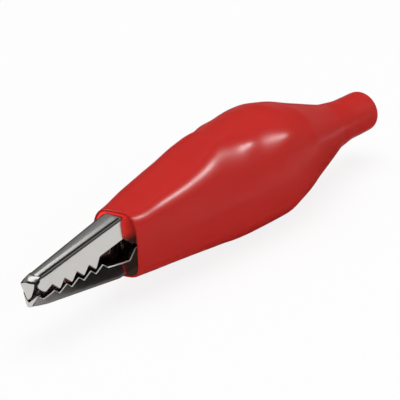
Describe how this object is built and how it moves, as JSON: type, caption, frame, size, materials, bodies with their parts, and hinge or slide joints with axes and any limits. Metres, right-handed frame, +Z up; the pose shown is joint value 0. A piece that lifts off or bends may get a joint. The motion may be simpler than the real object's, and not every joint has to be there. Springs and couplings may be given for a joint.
{
  "type": "crocodile clip",
  "caption": "Crocodile clip of stamped plated steel with interleaved teeth, a sprung jaw on a rivet, a wire screw inside, and a soft red insulating boot with a cable neck",
  "frame": {"origin": "Middle of the clip's length and width, at the lowest point of the boot's belly", "axes": "+X along the clip from the jaws' tip to the cable neck, +Y along the rivet toward its domed head's far side, +Z up from the lower jaw to the upper jaw"},
  "size_m": [0.0542, 0.0098, 0.0111],
  "materials": {
    "plated_steel": "bright nickel plate",
    "rivet_steel": "nickel plated",
    "spring_steel": "drawn wire",
    "screw_steel": "zinc plated",
    "red_boot": "glossy soft vinyl"
  },
  "bodies": {
    "lower_clip": {"lower_jaw": "plated_steel", "pivot_rivet": "rivet_steel", "jaw_spring": "spring_steel", "boot": "red_boot"},
    "upper_clip": {"upper_jaw": "plated_steel"},
    "wire_screw": {"clamp_screw": "screw_steel"}
  },
  "joints": [
    {"name": "jaw_hinge", "type": "hinge", "parent": "lower_clip", "child": "upper_clip", "pos_m": [-0.0066, 0, 0.00555], "axis": [0, 1, 0], "range_deg": [0, 18], "stiffness_Nm_per_rad": 0.003, "springref_deg": -11.46, "deforming": ["jaw_spring", "boot"]},
    {"name": "screw_lift", "type": "slide", "parent": "lower_clip", "child": "wire_screw", "axis": [0, 0, 1], "range_m": [0, 0.0008]}
  ]
}
